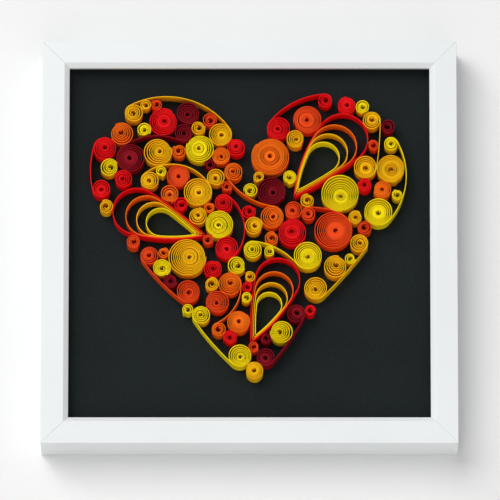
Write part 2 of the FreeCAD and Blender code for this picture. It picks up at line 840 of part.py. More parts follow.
def strip_face(strip):
    """The outline of one strip seen from the front, with the hole through each tight core."""
    first = strip.free_arcs[0] if strip.free_arcs else strip.end_coil[0]
    edges = [edge_of_arc(arc, THICKNESS / 2) for arc in strip.free_arcs]
    edges += coil_edges(strip.end_coil) if strip.end_coil else [cut_end(strip.free_arcs[-1], 1)]
    edges += [edge_of_arc(arc, -THICKNESS / 2) for arc in reversed(strip.free_arcs)]
    edges += coil_edges(strip.start_coil) if strip.start_coil else [cut_end(first, 0)]
    wires = [Part.Wire(edges)]
    for coil in strip.coils():
        hole = Part.Circle(on_card(coil[-1].centre), FreeCAD.Vector(0, 1, 0), HOLE_RADIUS)
        wires.append(Part.Wire([hole.toShape()]))
    return Part.makeFace(wires, "Part::FaceMakerBullseye")


def stand_strips(node, strips):
    """Strips standing on edge on the card, from their outlines."""
    outline = doc.addObject("Part::Feature", f"{node}_outline")
    outline.Shape = Part.Compound([strip_face(strip) for strip in strips])
    standing = doc.addObject("Part::Extrusion", node)
    standing.Base = outline
    standing.DirMode = "Custom"
    standing.Dir = FreeCAD.Vector(0, -1, 0)
    standing.Solid = True
    standing.setExpression("LengthFwd", "Sheet.strip_height")
    return standing


# Assembly

nodes = []

points = [
    retaining_point(side, angle, end, sign)
    for side, angle in SIDES.items()
    for end, sign in (("near", "-1"), ("far", "1"))
]
nails = [corner_nail(side, angle) for side, angle in SIDES.items()]
retaining_points = group("retaining_points", points)
corner_nails = group("corner_nails", nails)
rail_fittings = group("rail_fittings", [retaining_points, corner_nails])
for side, angle in SIDES.items():
    nodes.append(cut(f"frame_rail_{side}", rail_blank(side, angle), rail_fittings))
nodes += [retaining_points, corner_nails]

screws = group("hanger_screws", [screw("left", "-1"), screw("right", "1")])
blank_board = panel("blank_board", CARD_BACK, "Sheet.board_thickness")
nodes.append(panel("mount_card", CARD_FRONT, "Sheet.card_thickness"))
nodes.append(cut("backing_board", blank_board, screws))
nodes += [sawtooth_hanger(), screws]

picture = Picture()
lay_nests(picture)
lay_scrolls(picture)
lay_free_coils(picture)
for node, strips in picture.strips.items():
    nodes.append(stand_strips(node, strips))

doc.recompute()

# Checks, then one file for each piece

for item in doc.Objects:
    if "Invalid" in item.State or "Error" in item.State:
        raise RuntimeError(f"{item.Label} failed: {item.State}")
for node in nodes:
    if node.Shape.isNull() or not node.Shape.isValid():
        raise RuntimeError(f"{node.Label} has no valid shape")

os.makedirs("parts", exist_ok=True)
for node in nodes:
    node.Shape.exportStep(f"parts/{node.Label}.step")
print(len(nodes), "pieces,", sum(len(node.Shape.Solids) for node in nodes), "solids")
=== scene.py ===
import cmath
import math
import random

import bmesh
import bpy
from mathutils import Matrix, Vector


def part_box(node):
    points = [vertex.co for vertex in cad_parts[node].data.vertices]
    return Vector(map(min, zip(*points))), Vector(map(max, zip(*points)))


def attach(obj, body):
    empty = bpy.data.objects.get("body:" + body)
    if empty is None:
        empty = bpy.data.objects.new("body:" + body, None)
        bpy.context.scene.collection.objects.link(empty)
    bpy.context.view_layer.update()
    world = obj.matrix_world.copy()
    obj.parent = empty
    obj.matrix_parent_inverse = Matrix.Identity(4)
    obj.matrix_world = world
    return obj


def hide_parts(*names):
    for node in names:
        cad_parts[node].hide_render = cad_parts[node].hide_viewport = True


# A framed quilled heart. Paper strips are wound again turn by turn along the outlines of the
# solids, the frame gets painted, softly rounded arrises, and the picture hangs on a pale wall.

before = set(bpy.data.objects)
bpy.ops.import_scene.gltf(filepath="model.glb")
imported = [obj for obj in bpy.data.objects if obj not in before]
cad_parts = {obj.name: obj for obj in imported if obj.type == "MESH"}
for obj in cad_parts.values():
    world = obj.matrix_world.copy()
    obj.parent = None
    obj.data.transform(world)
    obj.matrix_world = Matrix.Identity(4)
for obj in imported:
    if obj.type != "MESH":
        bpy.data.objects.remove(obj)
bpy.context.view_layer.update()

MM = 0.001
WELD = 0.000001

CARD_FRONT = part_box("mount_card")[0].y
STRIP_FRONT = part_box("heart_foot_red_drop")[0].y
FRAME_LOW, FRAME_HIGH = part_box("frame_rail_bottom")[0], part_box("frame_rail_top")[1]
FRAME_CENTRE = (FRAME_LOW + FRAME_HIGH) / 2
FACE_CENTRE = Vector((FRAME_CENTRE.x, FRAME_LOW.y, FRAME_CENTRE.z))
FRAME_WIDTH = FRAME_HIGH.x - FRAME_LOW.x


# Colours, as they look in daylight

def tint(code):
    """A hexadecimal screen colour as the linear colour that shaders take."""
    levels = [int(code[k:k + 2], 16) / 255 for k in (0, 2, 4)]
    linear = [v / 12.92 if v <= 0.04045 else ((v + 0.055) / 1.055) ** 2.4 for v in levels]
    return (*linear, 1.0)


# Each paper's dye, and the paler colour of its front edge: partly the paper's own paler cut, partly
# a painted highlight where the edge catches the light
PAPERS = {
    "crimson": ("8c0619", "9a0c1e"),
    "red": ("f60c14", "fa2024"),
    "vermilion": ("f44a12", "fa5c20"),
    "orange": ("ff720a", "ff8216"),
    "golden": ("ffc002", "ffc908"),
    "lemon": ("ffe402", "ffec06"),
}


# Shader node groups

# Levels of noise between which mottle varies, fibres show, and marks begin
NOISE_LOW, NOISE_HIGH = 0.3, 0.7
FIBRE_LOW = 0.58
MARK_LEVEL, MARK_LEVEL_DROP, MARK_CONTRAST = 0.85, 0.5, 6.0


def new_group(name, inputs, outputs):
    """A shader group with sockets given as (name, kind, value); returns it with its two ends."""
    tree = bpy.data.node_groups.new(name, "ShaderNodeTree")
    for label, kind, value in inputs:
        socket = tree.interface.new_socket(label, in_out="INPUT", socket_type=f"NodeSocket{kind}")
        socket.default_value = value
    for label, kind in outputs:
        tree.interface.new_socket(label, in_out="OUTPUT", socket_type=f"NodeSocket{kind}")
    return tree, tree.nodes.new("NodeGroupInput"), tree.nodes.new("NodeGroupOutput")


def add(tree, kind, settings=None, **sockets):
    """A node with its settings, and its input sockets fed by values or by other sockets."""
    node = tree.nodes.new(kind)
    for key, value in (settings or {}).items():
        setattr(node, key, value)
    for key, value in sockets.items():
        feed(tree, node.inputs[int(key[1:]) if key[0] == "_" else key.replace("_", " ")], value)
    return node


def feed(tree, socket, value):
    """Links a socket, or sets its value."""
    if isinstance(value, bpy.types.NodeSocket):
        tree.links.new(value, socket)
    else:
        socket.default_value = value


def arithmetic(tree, operation, first, second=0.0, clamp=False):
    """One math node's result."""
    settings = {"operation": operation, "use_clamp": clamp}
    return add(tree, "ShaderNodeMath", settings, _0=first, _1=second).outputs[0]


def blend_colours(tree, share, first, second):
    """Mixes two colours by a share."""
    node = tree.nodes.new("ShaderNodeMix")
    node.data_type = "RGBA"
    feed(tree, node.inputs["Factor"], share)
    feed(tree, node.inputs[6], first)
    feed(tree, node.inputs[7], second)
    return node.outputs[2]


def remap(tree, value, low, high, to_low, to_high):
    """Stretches a value from one range to another, held within it."""
    node = add(tree, "ShaderNodeMapRange", None, Value=value)
    ends = {"From Min": low, "From Max": high, "To Min": to_low, "To Max": to_high}
    for label, number in ends.items():
        feed(tree, node.inputs[label], number)
    return node.outputs["Result"]


def object_noise(tree, scale, detail, stretch=None):
    """Noise that sits still in the object, finer where the scale is larger."""
    where = tree.nodes.new("ShaderNodeTexCoord").outputs["Object"]
    if stretch is not None:
        where = add(tree, "ShaderNodeMapping", None, Vector=where, Scale=stretch).outputs["Vector"]
    noise = add(tree, "ShaderNodeTexNoise", None, Vector=where, Scale=scale, Detail=detail)
    return noise.outputs["Fac"]


def build_mottle():
    """Slow, slight unevenness of a colour, as in paint, paper and board."""
    tree, start, end = new_group(
        "mottle",
        [("Colour", "Color", (1, 1, 1, 1)), ("Scale", "Float", 40.0), ("Depth", "Float", 0.1)],
        [("Colour", "Color")],
    )
    noise = object_noise(tree, start.outputs["Scale"], detail=3.0)
    lightness = remap(tree, noise, NOISE_LOW, NOISE_HIGH, -0.5, 0.5)
    gain = arithmetic(tree, "MULTIPLY_ADD", lightness, start.outputs["Depth"])
    feed(tree, gain.node.inputs[2], 1.0)
    shaded = add(tree, "ShaderNodeVectorMath", {"operation": "SCALE"}, _0=start.outputs["Colour"])
    feed(tree, shaded.inputs["Scale"], gain)
    feed(tree, end.inputs["Colour"], shaded.outputs["Vector"])
    return tree


def build_fibres():
    """Short crossed fibres: a height for bump, and specks of a second colour."""
    tree, start, end = new_group(
        "fibres",
        [
            ("Colour", "Color", (1, 1, 1, 1)), ("Speck Colour", "Color", (0.5, 0.5, 0.5, 1)),
            ("Specks", "Float", 0.2), ("Scale", "Float", 900.0),
        ],
        [("Colour", "Color"), ("Height", "Float")],
    )
    scale = start.outputs["Scale"]
    along = object_noise(tree, scale, detail=3.0, stretch=(0.25, 1.0, 1.0))
    across = object_noise(tree, scale, detail=3.0, stretch=(1.0, 1.0, 0.25))
    felted = arithmetic(tree, "MAXIMUM", along, across)
    mask = remap(tree, felted, FIBRE_LOW, NOISE_HIGH, 0.0, 1.0)
    share = arithmetic(tree, "MULTIPLY", mask, start.outputs["Specks"])
    colour = blend_colours(tree, share, start.outputs["Colour"], start.outputs["Speck Colour"])
    feed(tree, end.inputs["Colour"], colour)
    feed(tree, end.inputs["Height"], felted)
    return tree


def build_wear():
    """Scattered marks, as a mask: scuffs on paint, tarnish on metal."""
    tree, start, end = new_group(
        "wear",
        [("Scale", "Float", 30.0), ("Cover", "Float", 0.3)],
        [("Mask", "Float")],
    )
    coarse = object_noise(tree, start.outputs["Scale"], detail=6.0)
    drop = arithmetic(tree, "MULTIPLY", start.outputs["Cover"], MARK_LEVEL_DROP)
    level = arithmetic(tree, "SUBTRACT", MARK_LEVEL, drop)
    above = arithmetic(tree, "SUBTRACT", coarse, level)
    mask = arithmetic(tree, "MULTIPLY", above, MARK_CONTRAST, clamp=True)
    feed(tree, end.inputs["Mask"], mask)
    return tree


MOTTLE = build_mottle()
FIBRES = build_fibres()
WEAR = build_wear()


def group_node(tree, group, **sockets):
    """Places a node group with its values."""
    node = tree.nodes.new("ShaderNodeGroup")
    node.node_tree = group
    for key, value in sockets.items():
        feed(tree, node.inputs[key.replace("_", " ")], value)
    return node.outputs


# Materials

# The paler edge colour, partly the cut's own and partly a painted highlight, begins and is full at
# these shares of a strip's height
CUT_EDGE_START, CUT_EDGE_FULL, EDGE_PALENESS_AND_HIGHLIGHT = 0.975, 0.995, 0.8
DARKEST_STRIP = 0.96
BRUSH_LOW, BRUSH_HIGH = 0.35, 0.65
BRUSH_SMOOTHER, BRUSH_ROUGHER = 0.06, 0.08
SCUFF_STRENGTH = 0.35
DULL_ROUGHNESS = 0.25


def new_material(name, roughness, **plain):
    """A material with its tree and its Principled shader."""
    material = bpy.data.materials.new(name)
    material.use_nodes = True
    tree = material.node_tree
    shader = tree.nodes["Principled BSDF"]
    shader.inputs["Roughness"].default_value = roughness
    for key, value in plain.items():
        shader.inputs[key.replace("_", " ")].default_value = value
    return material, tree, shader


def raise_bump(tree, shader, height, strength, distance):
    """Feeds a height to the shader's normal."""
    bump = add(tree, "ShaderNodeBump", None, Strength=strength, Distance=distance, Height=height)
    feed(tree, shader.inputs["Normal"], bump.outputs["Normal"])


def paper_material(colour):
    """Quilling paper: dyed walls, a paler front edge that is partly the cut's own colour and partly
    a painted highlight, and a shade of its own for each strip.
    """
    body, edge = PAPERS[colour]
    material, tree, shader = new_material(
        f"{colour}_paper", roughness=0.6, Specular_IOR_Level=0.1
    )
    rise = add(tree, "ShaderNodeAttribute", {"attribute_name": "strip_rise"}).outputs["Fac"]
    shade = add(tree, "ShaderNodeAttribute", {"attribute_name": "strip_shade"}).outputs["Fac"]
    fibre = group_node(
        tree, FIBRES, Colour=tint(body), Speck_Colour=tint(edge), Specks=0.35, Scale=2600.0
    )
    # Paler front edge: partly the paper's own cut, partly a painted highlight
    edge_paleness_and_highlight = remap(tree, rise, CUT_EDGE_START, CUT_EDGE_FULL, 0.0, EDGE_PALENESS_AND_HIGHLIGHT)
    edged = blend_colours(tree, edge_paleness_and_highlight, fibre["Colour"], tint(edge))
    gain = remap(tree, shade, 0.0, 1.0, DARKEST_STRIP, 1.0)
    shaded = add(tree, "ShaderNodeVectorMath", {"operation": "SCALE"}, _0=edged)
    feed(tree, shaded.inputs["Scale"], gain)
    feed(tree, shader.inputs["Base Color"], shaded.outputs["Vector"])
    raise_bump(tree, shader, fibre["Height"], strength=0.25, distance=0.04 * MM)
    return material


def painted_wood(name, colour, roughness):
    """Satin paint over close-grained wood, with faint brush lines, mottle and a few scuffs."""
    material, tree, shader = new_material(name, roughness, Coat_Weight=0.15, Coat_Roughness=0.3)
    mottled = group_node(tree, MOTTLE, Colour=tint(colour), Scale=14.0, Depth=0.035)["Colour"]
    scuffs = group_node(tree, WEAR, Scale=55.0, Cover=0.22)["Mask"]
    share = arithmetic(tree, "MULTIPLY", scuffs, SCUFF_STRENGTH)
    scuffed = blend_colours(tree, share, mottled, tint("c9c6bf"))
    feed(tree, shader.inputs["Base Color"], scuffed)
    brushed = object_noise(tree, scale=420.0, detail=3.0, stretch=(0.12, 1.0, 0.9))
    smooth, rough = roughness - BRUSH_SMOOTHER, roughness + BRUSH_ROUGHER
    satin = remap(tree, brushed, BRUSH_LOW, BRUSH_HIGH, smooth, rough)
    feed(tree, shader.inputs["Roughness"], satin)
    raise_bump(tree, shader, brushed, strength=0.2, distance=0.06 * MM)
    return material


def card_material():
    """Charcoal mount card: matt, faintly felted, with stray grey fibres."""
    material, tree, shader = new_material(
        "charcoal_card", roughness=0.9, Specular_IOR_Level=0.15
    )
    fibre = group_node(
        tree, FIBRES, Colour=tint("181e1f"), Speck_Colour=tint("282f30"), Specks=0.5, Scale=1500.0
    )
    mottled = group_node(tree, MOTTLE, Colour=fibre["Colour"], Scale=25.0, Depth=0.16)["Colour"]
    feed(tree, shader.inputs["Base Color"], mottled)
    raise_bump(tree, shader, fibre["Height"], strength=0.35, distance=0.06 * MM)
    return material


def board_material():
    """Brown pressed fibreboard with pale flecks."""
    material, tree, shader = new_material(
        "pressed_fibreboard", roughness=0.8, Specular_IOR_Level=0.3
    )
    fibre = group_node(
        tree, FIBRES, Colour=tint("8a6238"), Speck_Colour=tint("c39a66"), Specks=0.75, Scale=620.0
    )
    mottled = group_node(tree, MOTTLE, Colour=fibre["Colour"], Scale=45.0, Depth=0.35)["Colour"]
    feed(tree, shader.inputs["Base Color"], mottled)
    raise_bump(tree, shader, fibre["Height"], strength=0.5, distance=0.1 * MM)
    return material


def metal_material(name, colour, dull_colour, roughness):
    """Plated metal: rolled lines, and duller patches where the plating has aged."""
    material, tree, shader = new_material(name, roughness, Metallic=1.0)
    dull = group_node(tree, WEAR, Scale=260.0, Cover=0.75)["Mask"]
    mottled = group_node(tree, MOTTLE, Colour=tint(colour), Scale=180.0, Depth=0.12)["Colour"]
    feed(tree, shader.inputs["Base Color"], blend_colours(tree, dull, mottled, tint(dull_colour)))
    rolled = object_noise(tree, scale=1500.0, detail=2.0, stretch=(0.05, 1.0, 1.0))
    worn = remap(tree, dull, 0.0, 1.0, roughness, roughness + DULL_ROUGHNESS)
    feed(tree, shader.inputs["Roughness"], worn)
    raise_bump(tree, shader, rolled, strength=0.15, distance=0.03 * MM)
    return material


PAPER = {colour: paper_material(colour) for colour in PAPERS}
WHITE_PAINT = painted_wood("white_satin_paint", "e5e8e9", roughness=0.42)
CHARCOAL_CARD = card_material()
FIBREBOARD = board_material()
ZINC = metal_material("zinc_plate", "b9bcbf", "8d9092", roughness=0.32)
BRASS = metal_material("brass_plate", "c9a255", "9a7b45", roughness=0.28)


# Strip outlines: points of the picture are complex numbers, across plus i times up

STRIP_THICKNESS = 0.4 * MM
FRONT_FLATNESS = 0.01 * MM
SHARP = math.radians(55)
LARGEST_HOLE = 3.0 * MM
HOLE_ROUNDNESS = 0.05 * MM
CORE_ROUNDNESS = 0.06 * MM
SHORTEST_RUN = 1.0 * MM
SPLICE_AHEAD, SPLICE_ASIDE = 0.05, 0.1


def front_loops(mesh):
    """The closed edges round the front faces of a node, with the paper on the left."""
    shell = bmesh.new()
    shell.from_mesh(mesh)
    bmesh.ops.remove_doubles(shell, verts=shell.verts, dist=WELD)
    front = min(v.co.y for v in shell.verts)
    facing = [
        f for f in shell.faces if all(abs(v.co.y - front) < FRONT_FLATNESS for v in f.verts)
    ]
    inside = set(facing)
    following = {}
    for face in facing:
        for corner in face.loops:
            if corner.link_loop_radial_next.face not in inside:
                following[corner.vert] = corner.link_loop_next.vert
    loops = []
    while following:
        first, vert = following.popitem()
        loop = [first]
        while vert is not first:
            loop.append(vert)
            vert = following.pop(vert)
        loops.append([complex(v.co.x, v.co.z) for v in loop])
    shell.free()
    return loops


def middle(points):
    """The mean of several points."""
    return sum(points) / len(points)


def is_hole(loop):
    """Whether a loop is the round hole of a coil."""
    centre = middle(loop)
    reaches = [abs(p - centre) for p in loop]
    return max(reaches) < LARGEST_HOLE and max(reaches) - min(reaches) < HOLE_ROUNDNESS


def split_at_corners(loop):
    """A loop's runs from one sharp corner to the next."""
    count = len(loop)
    steps = [loop[(k + 1) % count] - loop[k] for k in range(count)]
    sharp = [k for k in range(count) if abs(cmath.phase(steps[k] / steps[k - 1])) > SHARP]
    runs = []
    for first, last in zip(sharp, sharp[1:] + [sharp[0] + count]):
        runs.append([loop[k % count] for k in range(first, last + 1)])
    return runs


def run_length(run):
    """The length of a line of points."""
    return sum(abs(b - a) for a, b in zip(run, run[1:]))


def hugs(run, centre):
    """Whether a run goes round a centre at one distance, as a core's own edge does."""
    reaches = [abs(p - centre) for p in run]
    return max(reaches) - min(reaches) < CORE_ROUNDNESS


def moved_left(run, distance):
    """A line of points moved to its left."""
    moved = []
    for k, p in enumerate(run):
        ahead = run[min(k + 1, len(run) - 1)] - p
        behind = p - run[max(k - 1, 0)]
        way = sum(step / abs(step) for step in (ahead, behind) if abs(step) > WELD)
        moved.append(p + 1j * distance * way / abs(way))
    return moved


def splice(first, second):
    """The start of one line and the end of another over one strip, joined at the longest step."""
    steps = [abs(b - a) for a, b in zip(first, first[1:])]
    k = steps.index(max(steps))
    way = first[k + 1] - first[k]
    ahead = []
    for j, p in enumerate(second):
        passed = (p - first[k]) / way
        if passed.real > SPLICE_AHEAD and abs(passed.imag) < SPLICE_ASIDE:
            ahead.append((abs(p - first[k]), j))
    return first[:k + 1] + second[min(ahead)[1]:]


def centre_lines(mesh):
    """Each strip's middle line, with the coil's centre at each end, or None where it is cut."""
    loops = front_loops(mesh)
    holes = [loop for loop in loops if is_hole(loop)]
    centres = [middle(loop) for loop in holes]
    hole_radius = abs(holes[0][0] - centres[0]) if holes else 0.0
    strips = []
    for outline in [loop for loop in loops if loop not in holes]:
        runs = [run for run in split_at_corners(outline) if run_length(run) > SHORTEST_RUN]
        edges = [run for run in runs if not any(hugs(run, c) for c in centres)]
        left, right = [moved_left(run, STRIP_THICKNESS / 2) for run in edges]
        right.reverse()
        ends = []
        for end in (0, -1):
            if abs(left[end] - right[end]) < STRIP_THICKNESS:
                ends.append((None, None))
            else:
                centre = min(centres, key=lambda c: abs(c - left[end]))
                ends.append((centre, abs(left[end] - centre) < abs(right[end] - centre)))
        (start_coil, start_is_left), (end_coil, end_is_left) = ends
        if None in (start_is_left, end_is_left) or start_is_left == end_is_left:
            line = right if False in (start_is_left, end_is_left) else left
        else:
            line = splice(left, right) if start_is_left else splice(right, left)
        strips.append((line, start_coil, end_coil, hole_radius))
    return strips


# The tight turns that the solids leave out

VISIBLE_THICKNESS = 0.39 * MM
TIGHTEST_GAP = 0.03 * MM
LOOSEST_GAP = 0.26 * MM
LEAST_LOOSENESS, LOOSENESS_POWER = 0.02, 3
TURN_STEP = math.radians(20)
TAB_ANGLE = math.radians(80)
TAB_SHARES = (0.25, 0.5, 0.75, 1.0)
TAB_DEPTH = 0.45

dice = random.Random(7105)


def core_turns(line, centre, hole_radius):
    """The turns from a line's inner end down to the hole, with the tab that the tool bent in."""
    arm = line[-1] - centre
    side = 1 if (1j * arm * (line[-1] - line[-2]).conjugate()).real > 0 else -1
    inner = hole_radius + VISIBLE_THICKNESS / 2
    room = abs(arm) - inner
    count = max(int(room / (VISIBLE_THICKNESS + dice.uniform(TIGHTEST_GAP, LOOSEST_GAP))), 1)
    looseness = [LEAST_LOOSENESS + dice.random() ** LOOSENESS_POWER for _ in range(count)]
    spare = (room - count * VISIBLE_THICKNESS) / sum(looseness)
    turns = []
    angle, radius = 0.0, abs(arm)
    for number, loose in enumerate(looseness):
        sweep = math.pi if number == 0 else 2 * math.pi
        fall = VISIBLE_THICKNESS + spare * loose
        steps = round(sweep / TURN_STEP)
        for step in range(1, steps + 1):
            turns.append((angle + sweep * step / steps, radius - fall * step / steps))
        angle += sweep
        radius -= fall
    for share in TAB_SHARES:
        turns.append((angle + TAB_ANGLE * share, radius * (1 - TAB_DEPTH * share * share)))
    spin = arm / abs(arm)
    return [centre + spin * cmath.rect(reach, side * turned) for turned, reach in turns]


def whole_strip(line, start_coil, end_coil, hole_radius):
    """A strip's line with its tight turns wound at both ends."""
    if start_coil is not None:
        line = line[::-1] + core_turns(line[::-1], start_coil, hole_radius)
        line.reverse()
    if end_coil is not None:
        line = line + core_turns(line, end_coil, hole_radius)
    return line


# Winding: a node tree that sweeps the strip's section along each line and stands it on the card

STRIP_HEIGHT = CARD_FRONT - STRIP_FRONT
EDGE_UNEVENNESS = 0.1 * MM
UNEVENNESS_LENGTH = 9.0 * MM
FULL_HEIGHT_NOISE = 0.62
CREASE = math.radians(40)
FARTHEST_SHIFT = 50.0


def new_geometry_tree(name, inputs):
    """A geometry tree with these inputs; returns it with its two ends."""
    tree = bpy.data.node_groups.new(name, "GeometryNodeTree")
    tree.interface.new_socket("Geometry", in_out="INPUT", socket_type="NodeSocketGeometry")
    for label, kind, value in inputs:
        socket = tree.interface.new_socket(label, in_out="INPUT", socket_type=f"NodeSocket{kind}")
        if value is not None:
            socket.default_value = value
    tree.interface.new_socket("Geometry", in_out="OUTPUT", socket_type="NodeSocketGeometry")
    return tree, tree.nodes.new("NodeGroupInput"), tree.nodes.new("NodeGroupOutput")


def finish_tree(tree, start, end, geometry):
    """Makes instances real, sets the material, and ends the tree."""
    real = add(tree, "GeometryNodeRealizeInstances", None, Geometry=geometry)
    dressed = add(
        tree, "GeometryNodeSetMaterial", None,
        Geometry=real.outputs["Geometry"], Material=start.outputs["Material"],
    )
    feed(tree, end.inputs["Geometry"], dressed.outputs["Geometry"])


def named_value(tree, geometry, name, value, domain="POINT"):
    """Stores a value that materials read by name."""
    settings = {"data_type": "FLOAT", "domain": domain}
    node = add(tree, "GeometryNodeStoreNamedAttribute", settings, Geometry=geometry)
    feed(tree, node.inputs["Name"], name)
    feed(tree, node.inputs["Value"], value)
    return node.outputs["Geometry"]


def read_value(tree, name):
    """A stored value."""
    node = add(tree, "GeometryNodeInputNamedAttribute", {"data_type": "FLOAT"}, Name=name)
    return node.outputs["Attribute"]


def build_winder():
    """Lines become strips that stand on the card, each with an unevenness of its own in front."""
    tree, start, end = new_geometry_tree(
        "wind_paper_strips",
        [
            ("Strip Height", "Float", STRIP_HEIGHT),
            ("Strip Thickness", "Float", VISIBLE_THICKNESS),
            ("Card Front", "Float", CARD_FRONT),
            ("Edge Unevenness", "Float", EDGE_UNEVENNESS),
            ("Unevenness Length", "Float", UNEVENNESS_LENGTH),
            ("Seed", "Int", 1),
            ("Material", "Material", None),
        ],
    )
    height = start.outputs["Strip Height"]
    rounded = add(
        tree, "GeometryNodeCurveSplineType", {"spline_type": "CATMULL_ROM"},
        Curve=start.outputs["Geometry"],
    )
    finer = add(
        tree, "GeometryNodeSetSplineResolution", None,
        Geometry=rounded.outputs["Curve"], Resolution=2,
    )
    upright = add(
        tree, "GeometryNodeSetCurveNormal", {"mode": "Z_UP"}, Curve=finer.outputs["Geometry"]
    )
    place = tree.nodes.new("GeometryNodeSplineParameter")
    measured = named_value(tree, upright.outputs["Curve"], "strip_along", place.outputs["Length"])
    shade = add(tree, "FunctionNodeRandomValue", {"data_type": "FLOAT"})
    feed(tree, shade.inputs["Seed"], start.outputs["Seed"])
    shaded = named_value(tree, measured, "strip_shade", shade.outputs[1], "CURVE")

    section = add(
        tree, "GeometryNodeCurvePrimitiveQuadrilateral", {"mode": "RECTANGLE"},
        Width=start.outputs["Strip Thickness"], Height=height,
    )
    where = tree.nodes.new("GeometryNodeInputPosition").outputs["Position"]
    parts = add(tree, "ShaderNodeSeparateXYZ", None, Vector=where)
    rise = arithmetic(tree, "DIVIDE", parts.outputs["Y"], height)
    rise = arithmetic(tree, "ADD", rise, 0.5)
    risen = named_value(tree, section.outputs["Curve"], "strip_rise", rise)
    swept = add(tree, "GeometryNodeCurveToMesh", None, Curve=shaded, Profile_Curve=risen)
    feed(tree, swept.inputs["Fill Caps"], True)

    shift = arithmetic(tree, "MULTIPLY", read_value(tree, "strip_shade"), FARTHEST_SHIFT)
    shifted = arithmetic(tree, "ADD", read_value(tree, "strip_along"), shift)
    phase = arithmetic(tree, "DIVIDE", shifted, start.outputs["Unevenness Length"])
    noise = add(tree, "ShaderNodeTexNoise", {"noise_dimensions": "1D"}, W=phase, Detail=1.0)
    swing = arithmetic(tree, "SUBTRACT", noise.outputs["Fac"], FULL_HEIGHT_NOISE)
    lift = arithmetic(tree, "MULTIPLY", swing, start.outputs["Edge Unevenness"])
    lift = arithmetic(tree, "MULTIPLY", lift, read_value(tree, "strip_rise"))
    half = arithmetic(tree, "MULTIPLY", height, 0.5)
    move = add(tree, "ShaderNodeCombineXYZ", None, Z=arithmetic(tree, "ADD", lift, half))
    uneven = add(
        tree, "GeometryNodeSetPosition", None,
        Geometry=swept.outputs["Mesh"], Offset=move.outputs["Vector"],
    )
    stand = add(tree, "ShaderNodeCombineXYZ", None, Y=start.outputs["Card Front"])
    standing = add(
        tree, "GeometryNodeTransform", None,
        Geometry=uneven.outputs["Geometry"], Translation=stand.outputs["Vector"],
    )
    feed(tree, standing.inputs["Rotation"], (math.pi / 2, 0.0, 0.0))
    finish_tree(tree, start, end, standing.outputs["Geometry"])
    return tree


def as_plain_mesh(source, name):
    """The plain mesh that an object's modifiers make, as an object of its own."""
    bpy.context.view_layer.update()
    evaluated = source.evaluated_get(bpy.context.evaluated_depsgraph_get())
    mesh = bpy.data.meshes.new_from_object(evaluated)
    bpy.data.objects.remove(source)
    mesh.name = name
    piece = bpy.data.objects.new(name, mesh)
    bpy.context.scene.collection.objects.link(piece)
    return piece


def dress(piece, node):
    """Puts a finished piece in a node's place."""
    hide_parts(node)
    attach(piece, "root")


def made_real(source, tree, name, **inputs):
    """The plain mesh that a geometry tree makes of an object."""
    modifier = source.modifiers.new("build", "NODES")
    modifier.node_group = tree
    for item in tree.interface.items_tree:
        if item.in_out == "INPUT" and item.name.replace(" ", "_") in inputs:
            modifier[item.identifier] = inputs[item.name.replace(" ", "_")]
    return as_plain_mesh(source, name)


def crisp(mesh, angle):
    """Smooth shading, sharp where faces meet at more than this angle."""
    mesh.shade_smooth()
    mesh.set_sharp_from_angle(angle=angle)


def drawn_lines(name, lines):
    """One curve object that holds several lines, flat on the plane z = 0."""
    data = bpy.data.curves.new(name, "CURVE")
    data.dimensions = "3D"
    for line in lines:
        spline = data.splines.new("POLY")
        spline.points.add(len(line) - 1)
        for point, p in zip(spline.points, line):
            point.co = (p.real, p.imag, 0.0, 1.0)
    lines_object = bpy.data.objects.new(name, data)
    bpy.context.scene.collection.objects.link(lines_object)
    return lines_object


def wind_node(node, tree, number):
    """Replaces one quilled node by its strips, wound to the centre."""
    lines = [whole_strip(*strip) for strip in centre_lines(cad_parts[node].data)]
    colour = next(colour for colour in PAPERS if colour in node.split("_"))
    piece = made_real(
        drawn_lines(f"{node}_lines", lines), tree, f"{node}_paper",
        Strip_Height=STRIP_HEIGHT, Card_Front=CARD_FRONT, Seed=number, Material=PAPER[colour],
    )
    crisp(piece.data, CREASE)
    dress(piece, node)


QUILLED_WORDS = ("_coils_", "_scroll_", "_drop")

winder = build_winder()
quilled = [n for n in sorted(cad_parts) if any(word in n for word in QUILLED_WORDS)]
for number, node in enumerate(quilled):
    wind_node(node, winder, number)


# Frame and fittings: the CAD's shapes with softly rounded arrises

RAIL_ROUND = 0.25 * MM
HANGER_ROUND = 0.1 * MM
FLAT_WITHIN = math.radians(1)
ARRIS_ANGLE = math.radians(30)


def softened(node, width, material):
    """Replaces a node by the same shape with small rounds along its sharp edges."""
    shape = bmesh.new()
    shape.from_mesh(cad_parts[node].data)
    bmesh.ops.remove_doubles(shape, verts=shape.verts, dist=WELD)
    bmesh.ops.dissolve_limit(
        shape, angle_limit=FLAT_WITHIN, verts=shape.verts, edges=shape.edges, delimit={"NORMAL"}
    )
    mesh = bpy.data.meshes.new(f"{node}_welded")
    shape.to_mesh(mesh)
    shape.free()
    mesh.materials.append(material)
    mesh.shade_smooth()
    source = bpy.data.objects.new(f"{node}_source", mesh)
    bpy.context.scene.collection.objects.link(source)
    bevel = source.modifiers.new("rounds", "BEVEL")
    bevel.width = width
    bevel.segments = 3
    bevel.limit_method = "ANGLE"
    bevel.angle_limit = ARRIS_ANGLE
    weighted = source.modifiers.new("flat faces", "WEIGHTED_NORMAL")
    weighted.weight = 100
    dress(as_plain_mesh(source, f"{node}_dressed"), node)


for side in ("top", "bottom", "left", "right"):
    softened(f"frame_rail_{side}", RAIL_ROUND, WHITE_PAINT)
softened("sawtooth_hanger", HANGER_ROUND, ZINC)


# Screws: pan heads with a cross recess, one copy at each end of the hanger

SCREW_HEAD_HEIGHT = 1.3 * MM
SCREW_SHANK = 2.0 * MM
SCREW_SIDES = 48
SCREW_CREASE = math.radians(35)
RIM_SHARE = 0.3
DOME_STEPS = 8
RECESS_REACH, RECESS_WIDTH, RECESS_DEPTH = 2.5 * MM, 0.55 * MM, 0.8 * MM


